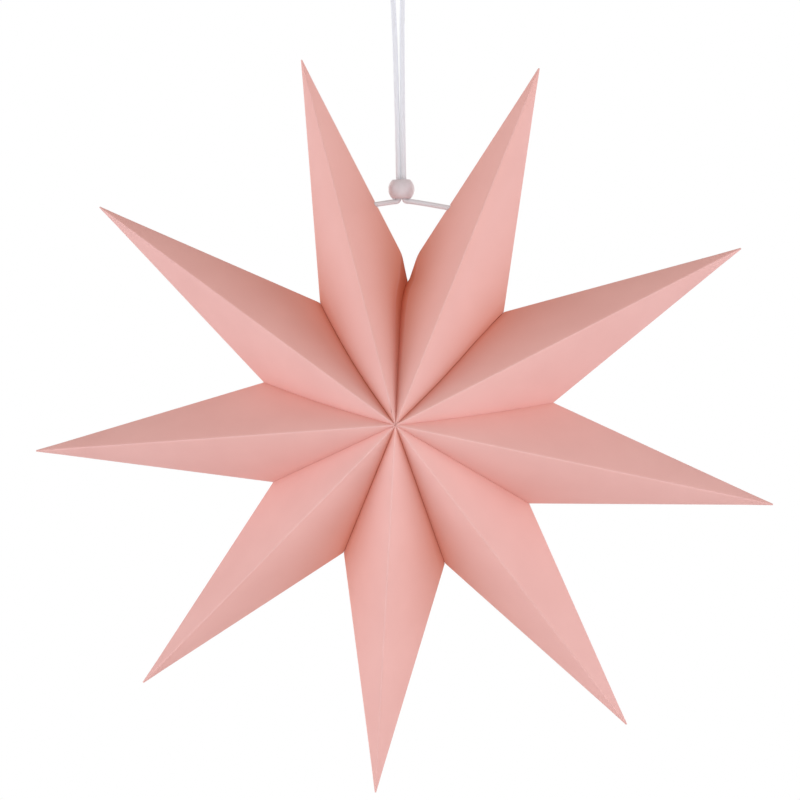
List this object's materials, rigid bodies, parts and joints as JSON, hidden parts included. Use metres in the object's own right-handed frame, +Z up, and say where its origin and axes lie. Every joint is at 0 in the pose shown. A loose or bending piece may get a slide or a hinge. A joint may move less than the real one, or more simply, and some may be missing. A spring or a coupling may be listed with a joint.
{
  "type": "folding paper star",
  "caption": "Hollow star of folded card spikes glued side by side in a ring, hung from a cord loop with a sliding bead.",
  "frame": {"origin": "inside of the top of the cord's loop, where it lies on its hook", "axes": "+Z up along the taut cord, +Y from the star's front to its back, +X to the right seen from the front"},
  "size_m": [0.2955, 0.09, 0.3413],
  "materials": {
    "card": "matt dyed card",
    "cord": "braided white cord",
    "bead": "satin"
  },
  "bodies": {
    "star": {"spike_1": "card", "spike_2": "card", "spike_3": "card", "spike_4": "card", "spike_5": "card", "spike_6": "card", "spike_7": "card", "spike_8": "card", "spike_9": "card", "hanging_cord": "cord", "left_knot": "cord", "right_knot": "cord"},
    "bead": {"bead": "bead"}
  },
  "joints": [
    {"name": "bead_slide", "type": "slide", "parent": "star", "child": "bead", "axis": [0, 0, 1], "range_m": [0, 0.028]}
  ]
}
